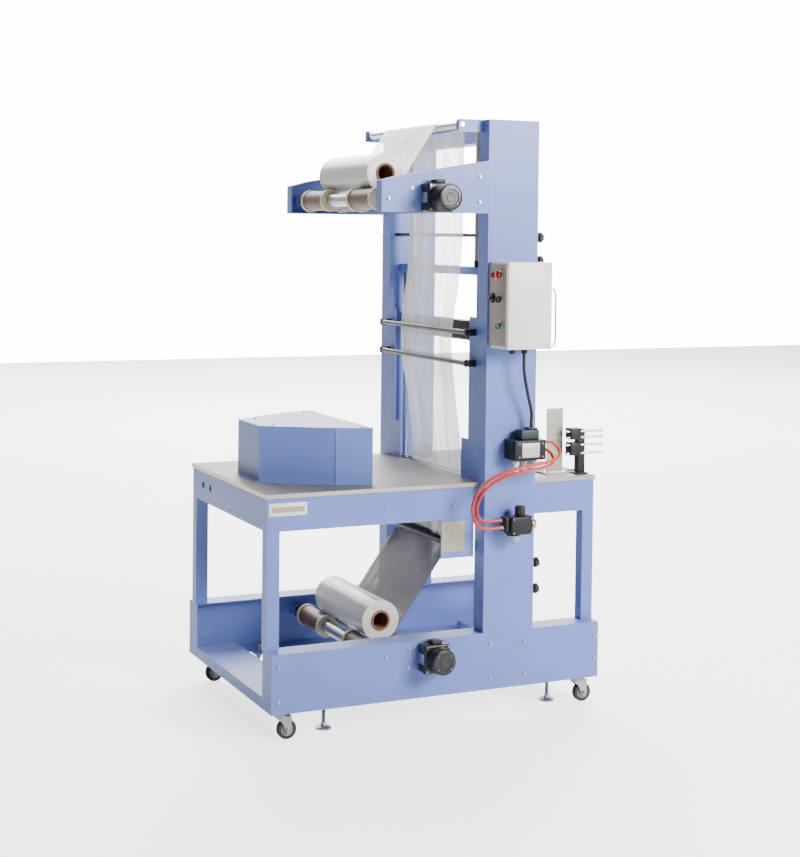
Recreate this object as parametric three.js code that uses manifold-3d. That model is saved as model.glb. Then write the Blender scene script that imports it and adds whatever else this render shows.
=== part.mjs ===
// Semi-automatic film sleeve sealer: a table and base on casters, two columns with an overhung film
// cradle, a second cradle in the base, and an air-driven sealing jaw that closes on the table.
// X runs along the product path, Y from the operator's side to the rear, Z up. Millimetres.
import * as THREE from "three";
import { mergeVertices } from "three/addons/utils/BufferGeometryUtils.js";
import Module from "manifold-3d";

const wasm = await Module();
wasm.setup();

// Driving dimensions, from the table's front left corner on the floor.
const GAP = 0.3;
const WALL = 4;
const SHEET = 3;
const TABLE = { length: 1170, width: 726, height: 760, edge: 14, apron: 101 };
const MID_Y = TABLE.width / 2;
const FRONT_Y = -38;
const BEAM = { x0: 8, x1: 1166, innerY: 42, z0: 94, z1: 278 };
const END_CHANNEL = { width: 147, top: 130 };
const COLUMN = { x0: 732, x1: 915, innerY: 27, top: 1925 };
const LEG = { x: 42, y: 39 };
const CRADLE = { idlerX: 402, driveX: 522, upperZ: 1668, lowerZ: 215, shaft: 10, drum: 34, rim: 38 };
const DRUM = { near: 101, far: 291, rimWidth: 15, tube: 22 };
const ARM = { tipX: 357, bottom: 1625, innerY: 2 };
const ROLL = { radius: 65, bore: 26, halfWidth: 200 };
const FILM = 0.8;
const TOP_ROLLER = { x: 656, z: 1908, radius: 12, shaft: 8 };
const LOW_ROLLER = { x: 700, z: 540, radius: 12, shaft: 6 };
const INNER_ROLLER = { x: 735, z: 1908, radius: 12 };
const MID_ROLLER = { x: 758, z: 1555, radius: 6 };
const GUIDE_BAR = { x: 700, radius: 8, heights: { upper: 1241, lower: 1141 } };
const JAW = { x0: 762, x1: 805, y0: 45, z0: 1212, z1: 1272, stroke: 440, strip: 6 };
const SHAFT = { x: 783, y: 66, radius: 10 };
const CYLINDER = { y: 118, radius: 16, rod: 6, top: 1918 };
const CROSSBEAM = { x0: 770, x1: 850, z0: 1424, z1: 1450 };
const SLOT = { x0: 749, x1: 762 };
const BOX = { x0: 741, x1: 900, y0: -158, z0: 1197, z1: 1472, wall: 2 };
const PANEL_FACE = 735.7;
const BUTTON = { radius: 11, hole: 11.6, travel: 3 };
const CASTER = { x: [58, 1118], inset: 20, radius: 31, trail: 22, top: 93.7 };
const FOOT = { x: [225, 1036], inset: 70, stud: 6 };

const FINISH = {
  blue: ["#7f93c4", 0.45, 0.1],
  steel: ["#c9c6bd", 0.35, 0.8],
  chrome: ["#b9bcc0", 0.25, 0.95],
  black: ["#26262a", 0.5, 0.1],
  rubber: ["#3a3a3c", 0.85, 0.0],
  drum: ["#8a6a50", 0.55, 0.1],
  film: ["#d8d7d4", 0.3, 0.0],
  white: ["#f2f1ee", 0.4, 0.0],
  tube: ["#dd5a38", 0.35, 0.0],
  red: ["#c02a25", 0.4, 0.0],
  green: ["#2c8a4a", 0.4, 0.0],
};

const machine = new THREE.Group();

function box(x0, x1, y0, y1, z0, z1) {
  const geometry = new THREE.BoxGeometry(x1 - x0, y1 - y0, z1 - z0);
  return geometry.translate((x0 + x1) / 2, (y0 + y1) / 2, (z0 + z1) / 2);
}

function outline(points) {
  return new THREE.Shape(points.map(([a, b]) => new THREE.Vector2(a, b)));
}

function extruded(points, depth) {
  return new THREE.ExtrudeGeometry(outline(points), { depth, bevelEnabled: false });
}

// An XZ outline made solid between two Y planes.
function plateXZ(points, y0, y1) {
  return extruded(points, y1 - y0).rotateX(Math.PI / 2).translate(0, y1, 0);
}

// An XY outline made solid between two Z planes.
function plateXY(points, z0, z1) {
  return extruded(points, z1 - z0).translate(0, 0, z0);
}

// Turned solids: each profile is a list of [radius, height along the axis].
function turnedY(profile, sides = 14) {
  return new THREE.LatheGeometry(profile.map(([r, h]) => new THREE.Vector2(r, h)), sides);
}

function turnedX(profile, sides = 14) {
  return turnedY(profile, sides).rotateZ(-Math.PI / 2);
}

function turnedZ(profile, sides = 14) {
  return turnedY(profile, sides).rotateX(Math.PI / 2);
}

function pin(radius, from, to) {
  return [[0, from], [radius, from], [radius, to], [0, to]];
}

// One vertex per corner, no empty triangles, faces pointing out.
function welded(geometry) {
  const bare = geometry.index ? geometry.toNonIndexed() : geometry.clone();
  bare.deleteAttribute("normal");
  bare.deleteAttribute("uv");
  const merged = mergeVertices(bare, 1e-3);
  const position = merged.attributes.position;
  const index = merged.index.array;
  const corners = [new THREE.Vector3(), new THREE.Vector3(), new THREE.Vector3()];
  const triangles = [];
  let volume = 0;
  for (let i = 0; i < index.length; i += 3) {
    const [a, b, c] = [index[i], index[i + 1], index[i + 2]];
    if (a === b || b === c || c === a) {
      continue;
    }
    [a, b, c].forEach((vertex, k) => corners[k].fromBufferAttribute(position, vertex));
    volume += corners[0].dot(corners[1].clone().cross(corners[2]));
    triangles.push([a, b, c]);
  }
  const outward = volume < 0 ? triangles.map(([a, b, c]) => [a, c, b]) : triangles;
  merged.setIndex(outward.flat());
  return merged;
}

function solid(geometry) {
  const mesh = welded(geometry);
  return new wasm.Manifold(new wasm.Mesh({
    numProp: 3,
    vertProperties: new Float32Array(mesh.attributes.position.array),
    triVerts: new Uint32Array(mesh.index.array),
  }));
}

function geometryOf(manifold) {
  const mesh = manifold.getMesh();
  const geometry = new THREE.BufferGeometry();
  geometry.setAttribute("position", new THREE.BufferAttribute(new Float32Array(mesh.vertProperties), 3));
  geometry.setIndex(new THREE.BufferAttribute(new Uint32Array(mesh.triVerts), 1));
  return geometry;
}

function joined(...pieces) {
  return geometryOf(pieces.map(solid).reduce((sum, piece) => sum.add(piece)));
}

function cut(piece, ...tools) {
  return geometryOf(tools.map(solid).reduce((rest, tool) => rest.subtract(tool), solid(piece)));
}

// The same piece on the other side of the machine's centre plane.
function mirrored(geometry) {
  return geometry.clone().translate(0, -MID_Y, 0).scale(1, -1, 1).translate(0, MID_Y, 0);
}

function tube(points, radius, sides, steps) {
  const path = new THREE.CatmullRomCurve3(points.map((p) => new THREE.Vector3(...p)), false, "centripetal");
  const section = Array.from({ length: sides }, (_, i) => {
    const angle = (2 * Math.PI * i) / sides;
    return [radius * Math.cos(angle), radius * Math.sin(angle)];
  });
  return new THREE.ExtrudeGeometry(outline(section), { steps, extrudePath: path, bevelEnabled: false });
}

function addPart(name, geometry, finish, position = [0, 0, 0]) {
  const [color, roughness, metalness] = FINISH[finish];
  const material = new THREE.MeshStandardMaterial({ color, roughness, metalness });
  const mesh = new THREE.Mesh(welded(geometry), material);
  mesh.name = name;
  mesh.position.set(...position);
  machine.add(mesh);
}

function addPair(name, front, finish) {
  addPart(`${name}_front`, front, finish);
  addPart(`${name}_rear`, mirrored(front), finish);
}

// A roller shaft's bore along Y at one place.
function boreY(radius, x, z, y0, y1) {
  return turnedY(pin(radius, y0, y1)).translate(x, 0, z);
}

// Two open channels, joined by low channels at the ends, with bearing blocks for the lower cradle.
function baseFrame() {
  const { x0, x1, innerY, z0, z1 } = BEAM;
  const beam = joined(
    box(x0, x1, FRONT_Y, FRONT_Y + WALL, z0, z1),
    box(x0, x1, FRONT_Y, innerY, z1 - WALL, z1),
    box(x0, x1, FRONT_Y, innerY, z0, z0 + WALL),
    box(x0, x0 + WALL, FRONT_Y, innerY, z0, z1),
    box(x1 - WALL, x1, FRONT_Y, innerY, z0, z1),
    bearingBlock(CRADLE.lowerZ),
    ...FOOT.x.map((x) => box(x - 20, x + 20, innerY - 2, FOOT.inset + 26, z0, z0 + 6)),
  );
  const bored = cut(beam, ...cradleBores(CRADLE.lowerZ), ...FOOT.x.map((x) =>
    turnedZ(pin(FOOT.stud + 0.5, z0 - 1, z0 + 7)).translate(x, FOOT.inset, 0)));
  const channels = [x0, x1 - END_CHANNEL.width].map((x) => cut(
    box(x, x + END_CHANNEL.width, innerY - 2, TABLE.width - innerY + 2, z0, END_CHANNEL.top),
    box(x + WALL, x + END_CHANNEL.width - WALL, innerY + WALL, TABLE.width - innerY - WALL,
      z0 - 1, END_CHANNEL.top - WALL),
  ));
  return joined(bored, mirrored(bored), ...channels);
}

function bearingBlock(z) {
  return box(CRADLE.idlerX - 20, CRADLE.driveX + 20, FRONT_Y + 2, 22, z - 18, z + 18);
}

// The idler's bore is blind and the drive's goes through to the gear motor.
function cradleBores(z) {
  return [
    boreY(CRADLE.shaft + 0.5, CRADLE.idlerX, z, -30, 30),
    boreY(CRADLE.shaft + 0.5, CRADLE.driveX, z, -50, 30),
  ];
}

function leg(x0) {
  const z0 = BEAM.z1 + GAP;
  const z1 = TABLE.height - TABLE.edge - GAP;
  return cut(
    box(x0, x0 + LEG.x, 3, 3 + LEG.y, z0, z1),
    box(x0 + SHEET, x0 + LEG.x - SHEET, 3 + SHEET, LEG.y, z0 - 1, z1 - SHEET),
  );
}

// Legs, end apron and the side aprons up to the columns at one end of the table.
function tableFrame(legX, endX, sideX0, sideX1, extras) {
  const z1 = TABLE.height - TABLE.edge - GAP;
  const z0 = z1 - TABLE.apron;
  const side = joined(
    leg(legX),
    box(sideX0, sideX1, 3, 3 + SHEET, z0, z1),
    box(sideX0, sideX1, 3, 18, z0, z0 + SHEET),
    ...extras,
  );
  return joined(side, mirrored(side), box(endX, endX + SHEET, 3, TABLE.width - 3, z0, z1));
}

// A hanger under the table with the lower guide roller's bearing.
function rollerHanger() {
  const { x, z } = LOW_ROLLER;
  return [
    box(x - 100, x + 16, 5, 10, z - 20, z + 160),
    box(x - 16, x + 16, 9, 40, z - 16, z + 16),
  ];
}

function addTable() {
  const frame = tableFrame(4, 4, 4, COLUMN.x0 - GAP, rollerHanger());
  const holes = [539, 612].map((y) => turnedX(pin(8, 0, 12)).translate(0, y, 700));
  const { x, z, shaft } = LOW_ROLLER;
  const bearings = boreY(shaft + 0.4, x, z, 12, TABLE.width - 12);
  addPart("table_frame_infeed", cut(frame, ...holes, bearings), "blue");
  addPart("table_frame_outfeed", tableFrame(1124, 1163, COLUMN.x1 + GAP, 1166, []), "blue");

  const top = TABLE.height;
  const low = top - TABLE.edge;
  const near = COLUMN.innerY + GAP;
  const far = TABLE.width - near;
  const infeed = [[0, 0], [COLUMN.x0 - GAP, 0], [COLUMN.x0 - GAP, near], [SLOT.x0, near],
    [SLOT.x0, far], [COLUMN.x0 - GAP, far], [COLUMN.x0 - GAP, TABLE.width], [0, TABLE.width]];
  addPart("worktop_infeed", cut(plateXY(infeed, low, top), box(3, 729, 3, 723, low - 1, top - 2.5)), "steel");

  const jawNear = 110 - GAP;
  const jawFar = TABLE.width - jawNear;
  const end = TABLE.length;
  const outfeed = [[SLOT.x1 - GAP, near], [COLUMN.x1 + GAP, near], [COLUMN.x1 + GAP, 0], [end, 0],
    [end, TABLE.width], [COLUMN.x1 + GAP, TABLE.width], [COLUMN.x1 + GAP, far], [SLOT.x1 - GAP, far],
    [SLOT.x1 - GAP, jawFar], [JAW.x1 + GAP, jawFar], [JAW.x1 + GAP, jawNear], [SLOT.x1 - GAP, jawNear]];
  addPart("worktop_outfeed",
    cut(plateXY(outfeed, low, top), box(918, end - 3, 3, 723, low - 1, top - 2.5)), "steel");
}

// A square column, open at its foot, with the top roller's bracket welded to it.
function column() {
  const { x0, x1, innerY, top } = COLUMN;
  const { x, z, shaft } = TOP_ROLLER;
  const shell = cut(
    box(x0, x1, FRONT_Y, innerY, BEAM.z1 + GAP, top),
    box(x0 + WALL, x1 - WALL, FRONT_Y + WALL, innerY - WALL, BEAM.z1 - 1, top - WALL),
  );
  const bracket = joined(box(x - 14, x0 + 2, 0, 5, top - 40, top),
    box(x - 14, x + 14, 4, 20, z - 14, z + 14));
  return cut(joined(shell, bracket), boreY(shaft + 0.4, x, z, -1, 21));
}

// The overhung arm: a channel that deepens towards the column, with the upper bearing block in it.
function cradleArm() {
  const right = COLUMN.x0 - GAP;
  const { tipX, bottom, innerY } = ARM;
  const body = plateXZ([[tipX, bottom], [right, bottom], [right, 1793], [637, 1776], [426, 1740],
    [tipX, 1722]], FRONT_Y, innerY);
  const pocket = plateXZ([[tipX + WALL, bottom + WALL], [right - WALL, bottom + WALL], [right - WALL, 1788],
    [637, 1772], [426, 1736], [tipX + WALL, 1719]], FRONT_Y + WALL, innerY + 1);
  return cut(joined(cut(body, pocket), bearingBlock(CRADLE.upperZ)), ...cradleBores(CRADLE.upperZ));
}

function addColumns() {
  addPair("column", column(), "blue");
  addPair("cradle_arm", cradleArm(), "blue");
  const innerFace = ARM.innerY + GAP;
  addPart("cradle_tie_bar",
    box(604, 610, innerFace, TABLE.width - innerFace, ARM.bottom + 1, ARM.bottom + 45), "blue");
  const near = COLUMN.innerY + GAP;
  const far = TABLE.width - near;
  const { top } = COLUMN;
  addPart("top_crossbeam", cut(
    box(800, 880, near, far, top - 65, top - 1),
    box(804, 881, near + WALL, far - WALL, top - 61, top - 5),
  ), "blue");
}

function rollerProfile(nearEnd) {
  const { shaft, drum, rim } = CRADLE;
  const { near, far, rimWidth } = DRUM;
  const half = [[shaft, far], [rim, far], [rim, far - rimWidth], [drum, far - rimWidth],
    [drum, near + rimWidth], [rim, near + rimWidth], [rim, near], [DRUM.tube, near]];
  const back = half.slice().reverse();
  return [[0, nearEnd], [shaft, nearEnd], ...half.map(([r, h]) => [r, -h]), ...back,
    [shaft, 388], [0, 388]];
}

function rollHeight(z) {
  const reach = ROLL.radius + CRADLE.rim + 0.4;
  const half = (CRADLE.driveX - CRADLE.idlerX) / 2;
  return z + Math.sqrt(reach * reach - half * half);
}

const ROLL_X = (CRADLE.idlerX + CRADLE.driveX) / 2;

// A gear motor with its body off its output shaft's axis.
function gearMotor(length) {
  return joined(
    box(-45, 45, -50, 0, -45, 45),
    turnedY([[0, -length], [36, -length], [42, 6 - length], [42, -48], [0, -48]], 16),
  );
}

function addCradle(level, z, motorShift, motorLength) {
  addPart(`${level}_idler_roller`, turnedY(rollerProfile(-388)), "drum", [CRADLE.idlerX, MID_Y, z]);
  addPart(`${level}_drive_roller`, turnedY(rollerProfile(-400.9)), "drum", [CRADLE.driveX, MID_Y, z]);
  const { radius, bore, halfWidth } = ROLL;
  const roll = [[bore, -halfWidth], [radius, -halfWidth], [radius, halfWidth], [bore, halfWidth],
    [bore, -halfWidth]];
  addPart(`${level}_film_roll`, turnedY(roll, 24), "film", [ROLL_X, MID_Y, rollHeight(z)]);
  const [dx, dz] = motorShift;
  addPart(`gear_motor_${level}`, gearMotor(motorLength), "black",
    [CRADLE.driveX + dx, FRONT_Y - GAP, z + dz]);
}

function addRollers() {
  const top = TOP_ROLLER;
  const topEnd = MID_Y - 0.5;
  addPart("top_roller", turnedY([[0, -topEnd], [top.shaft, -topEnd], [top.shaft, -341], [top.radius, -341],
    [top.radius, 341], [top.shaft, 341], [top.shaft, topEnd], [0, topEnd]]), "chrome", [top.x, MID_Y, top.z]);
  const low = LOW_ROLLER;
  const lowEnd = MID_Y - 14;
  addPart("lower_guide_roller", turnedY([[0, -lowEnd], [low.shaft, -lowEnd], [low.shaft, -303],
    [low.radius, -303], [low.radius, 303], [low.shaft, 303], [low.shaft, lowEnd], [0, lowEnd]]), "black",
  [low.x, MID_Y, low.z]);
  const halfSpan = MID_Y - COLUMN.innerY - 0.6;
  addPart("mid_roller", turnedY(pin(MID_ROLLER.radius, -halfSpan, halfSpan), 16), "black",
    [MID_ROLLER.x, MID_Y, MID_ROLLER.z]);
  const inner = INNER_ROLLER;
  addPart("inner_top_roller", turnedY([[0, -halfSpan], [6, -halfSpan], [6, 20 - halfSpan],
    [inner.radius, 20 - halfSpan], [inner.radius, halfSpan - 20], [6, halfSpan - 20], [6, halfSpan],
    [0, halfSpan]]), "chrome", [inner.x, MID_Y, inner.z]);
  for (const [place, z] of Object.entries(GUIDE_BAR.heights)) {
    const { x, radius } = GUIDE_BAR;
    const block = box(x - radius, COLUMN.x0 - GAP, 33, 47, z - 11, z + 11);
    const rod = turnedY(pin(radius, 31, TABLE.width - 31), 16).translate(x, 0, z);
    addPart(`film_guide_bar_${place}`, joined(rod, block, mirrored(block)), "chrome");
  }
}

function addJaw() {
  const { x0, x1, y0, z0, z1, strip } = JAW;
  const y1 = TABLE.width - y0;
  const rodTop = CROSSBEAM.z1 + 14 + JAW.stroke;
  const rods = [CYLINDER.y, TABLE.width - CYLINDER.y].map((y) =>
    turnedZ(pin(CYLINDER.rod, z1 - 4, rodTop), 12).translate(SHAFT.x, y, 0));
  const bores = [SHAFT.y, TABLE.width - SHAFT.y].map((y) =>
    turnedZ(pin(SHAFT.radius + 0.6, z0 - 1, z1 + 1)).translate(SHAFT.x, y, 0));
  const heater = box(x0 + 10, x1 - 10, 110, 616, z0 - strip, z0 + 1);
  const beam = joined(box(x0, x1, y0, y1, z0, z1), heater, ...rods);
  addPart("upper_jaw", cut(beam, ...bores), "black");
  const top = TABLE.height;
  addPart("lower_jaw", joined(box(x0, x1, 110, 616, top - 60, top),
    box(x0 + 10, x1 - 10, 110, 616, top - 1, z0 - strip - JAW.stroke - 0.5)), "steel");

  const near = COLUMN.innerY + GAP;
  const beamBox = box(CROSSBEAM.x0, CROSSBEAM.x1, near, TABLE.width - near, CROSSBEAM.z0, CROSSBEAM.z1);
  const holes = [CYLINDER.y, TABLE.width - CYLINDER.y].map((y) =>
    turnedZ(pin(CYLINDER.rod + 1, CROSSBEAM.z0 - 1, CROSSBEAM.z1 + 1), 12).translate(SHAFT.x, y, 0));
  const shafts = [SHAFT.y, TABLE.width - SHAFT.y].map((y) =>
    turnedZ(pin(SHAFT.radius, top + GAP, CROSSBEAM.z0 + 2)).translate(SHAFT.x, y, 0));
  addPart("jaw_crossbeam", joined(cut(beamBox, ...holes), ...shafts), "blue");
  const bore = CYLINDER.rod + 1.5;
  const from = CROSSBEAM.z1 + GAP;
  const cylinder = turnedZ([[0, CYLINDER.top - 6], [bore, CYLINDER.top - 6], [bore, from],
    [CYLINDER.radius, from], [CYLINDER.radius, CYLINDER.top], [0, CYLINDER.top]]);
  addPair("cylinder", cylinder.translate(SHAFT.x, CYLINDER.y, 0), "steel");

  const x = COLUMN.x0;
  const cover = joined(
    box(x, x + SHEET, near, 82, 889, 1290),
    box(x, x + 58, near, near + SHEET, 889, 1290),
    box(x, x + SHEET, near, 130, top + GAP, 890),
  );
  addPair("guide_cover", cover, "blue");
}

// Where a film leaves a circle for a second one: the unit normal that both tangent points share.
function sharedNormal(c1, r1, c2, r2, side) {
  const line = new THREE.Vector2(c2.x - c1.x, c2.y - c1.y);
  const lean = (r1 - r2) / line.length();
  line.normalize();
  const across = new THREE.Vector2(-line.y, line.x).multiplyScalar(side * Math.sqrt(1 - lean * lean));
  return line.multiplyScalar(lean).add(across);
}

function onCircle(centre, radius, angle) {
  return new THREE.Vector2(centre.x + radius * Math.cos(angle), centre.y + radius * Math.sin(angle));
}

// A film of even thickness along an XZ line of points.
function web(points) {
  const sides = [1, -1].map((sign) => points.map((point, i) => {
    const before = points[Math.max(i - 1, 0)];
    const after = points[Math.min(i + 1, points.length - 1)];
    const along = after.clone().sub(before).normalize();
    return [point.x - (sign * along.y * FILM) / 2, point.y + (sign * along.x * FILM) / 2];
  }));
  const { halfWidth } = ROLL;
  return plateXZ([...sides[0], ...sides[1].reverse()], MID_Y - halfWidth, MID_Y + halfWidth);
}

// The film's way from a roll around a guide roller, up to the point where it runs free.
function ledOff(rollZ, roller, side, lastAngle) {
  const roll = new THREE.Vector2(ROLL_X, rollZ);
  const guide = new THREE.Vector2(roller.x, roller.z);
  const rollReach = ROLL.radius + 1;
  const guideReach = roller.radius + 1;
  const normal = sharedNormal(roll, rollReach, guide, guideReach, side);
  const first = normal.angle() > Math.PI ? normal.angle() - 2 * Math.PI : normal.angle();
  const turns = [0, 0.25, 0.5, 0.75, 1].map((t) =>
    onCircle(guide, guideReach, first + t * (lastAngle - first)));
  return [roll.clone().addScaledVector(normal, rollReach), ...turns];
}

function overRollers() {
  const roll = new THREE.Vector2(ROLL_X, rollHeight(CRADLE.upperZ));
  const outer = new THREE.Vector2(TOP_ROLLER.x, TOP_ROLLER.z);
  const inner = new THREE.Vector2(INNER_ROLLER.x, INNER_ROLLER.z);
  const reach = TOP_ROLLER.radius + 1;
  const normal = sharedNormal(roll, ROLL.radius + 1, outer, -reach, -1);
  const landing = normal.clone().negate().angle();
  const rising = [0, 0.5, 1].map((t) => onCircle(outer, reach, landing + t * (Math.PI / 2 - landing)));
  const falling = [1, 0.67, 0.33, 0].map((t) => onCircle(inner, reach, (t * Math.PI) / 2));
  return [roll.clone().addScaledVector(normal, ROLL.radius + 1), ...rising, ...falling];
}

function addFilm() {
  const meetZ = TABLE.height + 2;
  const slotX = 755;
  const over = overRollers();
  const hanging = [[746, 1700], [738, 1440], [712.5, 1245], [712.5, 1137], [738, 930], [slotX, meetZ]];
  const fall = new THREE.SplineCurve([over.at(-1), ...hanging.map(([x, z]) => new THREE.Vector2(x, z))]);
  addPart("upper_web", web([...over, ...fall.getPoints(18).slice(1)]), "film");
  const under = ledOff(rollHeight(CRADLE.lowerZ), LOW_ROLLER, -1, THREE.MathUtils.degToRad(-13));
  addPart("lower_web", web([...under, new THREE.Vector2(slotX, meetZ - GAP)]), "film");
}

function addInfeedCover() {
  const bottom = TABLE.height + GAP;
  const height = 180;
  const skin = 2.5;
  const shell = [[67, 245], [278, 115], [388, 75], [388, 615], [278, 575], [67, 445]];
  const inner = [[70, 247], [279, 118], [385, 79], [385, 611], [279, 572], [70, 443]];
  addPart("infeed_cover", cut(plateXY(shell, bottom, bottom + height),
    plateXY(inner, bottom - 1, bottom + height - skin)), "blue");
}

const CONTROLS = {
  button_red: [-116, 1430],
  selector: [-68, 1357],
  button_black: [-116, 1354],
  button_green: [-116, 1270],
};

function addControls() {
  const { x0, x1, y0, z0, z1, wall } = BOX;
  const back = FRONT_Y - GAP;
  const shell = cut(box(x0, x1, y0, back, z0, z1),
    box(x0 + wall, x1 - wall, y0 + wall, back + 1, z0 + wall, z1 - wall));
  const places = Object.values(CONTROLS);
  const rings = places.map(([y, z]) =>
    turnedX(pin(15.5, PANEL_FACE - 3.7, PANEL_FACE + 1)).translate(0, y, z));
  const holes = places.map(([y, z]) =>
    turnedX(pin(BUTTON.hole, PANEL_FACE - 6, x0 - GAP)).translate(0, y, z));
  const gland = turnedZ([[0, z0 - 17], [9, z0 - 17], [9, z0 - 10], [12, z0 - 10], [12, z0 + 1], [0, z0 + 1]])
    .translate(835, -98, 0);
  const panel = box(PANEL_FACE, x0 + 1, -154, -42, 1206, 1463);
  const hookRod = tube([[x1 - 1, -100, 1385], [938, -100, 1385], [946, -100, 1377], [947, -100, 1290],
    [946, -100, 1206], [938, -100, 1198], [x1 - 1, -100, 1198]], 3, 8, 24);
  addPart("control_box", joined(cut(joined(panel, ...rings), ...holes), shell, gland, hookRod), "white");

  const inner = 1.7;
  const cap = pin(BUTTON.radius, -11.7, inner);
  const mushroom = [[0, -17], [13, -17], [16.5, -15], [16.5, -11.7], [BUTTON.radius, -11.7],
    [BUTTON.radius, inner], [0, inner]];
  const grip = joined(turnedX(pin(BUTTON.radius, -6, inner)), box(-17, -5, -8, 8, -3, 3));
  const shapes = {
    button_red: [turnedX(mushroom), "red"],
    selector: [grip, "black"],
    button_black: [turnedX(cap), "black"],
    button_green: [turnedX(cap), "green"],
  };
  for (const [name, [y, z]] of Object.entries(CONTROLS)) {
    addPart(name, shapes[name][0], shapes[name][1], [PANEL_FACE, y, z]);
  }
  addPart("control_cable", tube([[835, -98, 1179.5], [836, -98, 1125], [856, -88, 1050], [878, -76, 985],
    [880, -72, 960], [880, -72, 940.6]], 5, 8, 24), "rubber");
}

function addAir() {
  const back = FRONT_Y - GAP;
  const valve = joined(
    box(800, 914, -110, back, 839, 903),
    box(806, 900, -100, -50, 800, 840),
    box(830, 900, -95, -50, 902, 940),
    ...[[-88, 893], [-66, 866]].map(([y, z]) => turnedX(pin(7, 913, 922), 12).translate(0, y, z)),
  );
  addPart("valve_block", valve, "black");
  const regulator = joined(
    box(790, 868, -112, -58, 602, 660),
    box(768, 791, -100, -66, 615, 655),
    box(800, 850, -59, back, 640, 655),
    turnedZ([[0, 571], [12, 571], [20, 579], [20, 603], [0, 603]]).translate(812, -85, 0),
    turnedX(pin(16, 867, 889)).translate(0, -85, 630),
  );
  addPart("air_regulator", regulator, "black");
  addPart("regulator_knob", turnedZ([[0, 0], [17, 0], [17, 24], [14, 31], [0, 31]], 16), "black",
    [835, -85, 660 + GAP]);
  addPart("air_tube_outer", tube([[922.5, -88, 893], [936, -88, 893], [952, -92, 888], [968, -102, 866],
    [950, -116, 843], [905, -122, 832], [820, -124, 820], [748, -112, 800], [700, -96, 768], [668, -88, 720],
    [664, -86, 672], [684, -85, 636], [717, -84, 625], [767.5, -84, 625]], 5, 8, 34), "tube");
  addPart("air_tube_inner", tube([[922.5, -66, 866], [932, -66, 866], [943, -72, 862], [950, -90, 846],
    [938, -112, 828], [905, -120, 817], [820, -120, 804], [752, -106, 784], [712, -90, 754], [686, -82, 712],
    [683, -80, 676], [696, -78, 654], [722, -76, 646], [767.5, -76, 646]], 5, 8, 34), "tube");
}

function addOutfeedGuides() {
  const top = TABLE.height + GAP;
  addPart("outfeed_guide_plate", joined(box(1025, 1085, 70, 76, top, 980),
    box(1015, 1110, 60, 110, top, top + 6)), "steel");
  const clampHeights = [[825, 868], [878, 916]];
  const rodHeights = [832, 860, 885, 905];
  addPart("outfeed_guide_stand", joined(
    box(1127, 1154, 40, 66, top, 910),
    ...clampHeights.map(([z0, z1]) => box(1088, 1128, 22, 60, z0, z1)),
    ...rodHeights.map((z) => turnedX(pin(4, 1072, 1215), 10).translate(0, 30, z)),
  ), "black");
}

function casterFork() {
  const { radius, trail, top } = CASTER;
  const bridge = radius * 2 + 8;
  const legOutline = [[-14, bridge + 6], [trail + 12, bridge + 6], [trail + 9, radius - 8],
    [trail - 9, radius - 8]];
  const cheek = plateXZ(legOutline, 12, 15);
  return cut(
    joined(turnedZ(pin(20, bridge + 2, top)), box(-14, trail + 12, -15, 15, bridge, bridge + 6), cheek,
      cheek.clone().translate(0, -27, 0)),
    boreY(5.5, trail, radius, -20, 20),
  );
}

function addFeet() {
  const { radius, trail } = CASTER;
  const wheel = [[0, -16.5], [5, -16.5], [5, -11], [radius - 3, -11], [radius, -8], [radius, 8],
    [radius - 3, 11], [5, 11], [5, 16.5], [0, 16.5]];
  const stud = FOOT.stud;
  const foot = [[0, 0], [25, 0], [25, 4], [9, 10], [stud, 12], [stud, 82], [10, 82], [10, 92], [stud, 92],
    [stud, 125], [0, 125]];
  const ends = { infeed: 0, outfeed: 1 };
  for (const [end, i] of Object.entries(ends)) {
    for (const side of ["front", "rear"]) {
      const across = (inset) => (side === "front" ? inset : TABLE.width - inset);
      const casterY = across(CASTER.inset);
      addPart(`caster_fork_${end}_${side}`, casterFork(), "steel", [CASTER.x[i], casterY, 0]);
      addPart(`caster_wheel_${end}_${side}`, turnedY(wheel, 18), "rubber",
        [CASTER.x[i] + trail, casterY, radius]);
      addPart(`levelling_foot_${end}_${side}`, turnedZ(foot, 12), "steel",
        [FOOT.x[i], across(FOOT.inset), 0]);
    }
  }
}

addPart("base_frame", baseFrame(), "blue");
addTable();
addColumns();
addCradle("upper", CRADLE.upperZ, [15, 3], 120);
addCradle("lower", CRADLE.lowerZ, [23, 11], 100);
addRollers();
addJaw();
addFilm();
addInfeedCover();
addControls();
addAir();
addOutfeedGuides();
addFeet();

// The origin is the middle of the machine's footprint, on the floor.
const extent = new THREE.Box3().setFromObject(machine);
machine.position.set(-(extent.min.x + extent.max.x) / 2, -(extent.min.y + extent.max.y) / 2, -extent.min.z);

export default machine;
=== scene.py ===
"""Looks of the film sleeve sealer: materials, fine pieces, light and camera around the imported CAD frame.
"""
from math import atan2, cos, pi, radians, sin, sqrt

import bmesh
import bpy
from mathutils import Matrix, Vector


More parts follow.
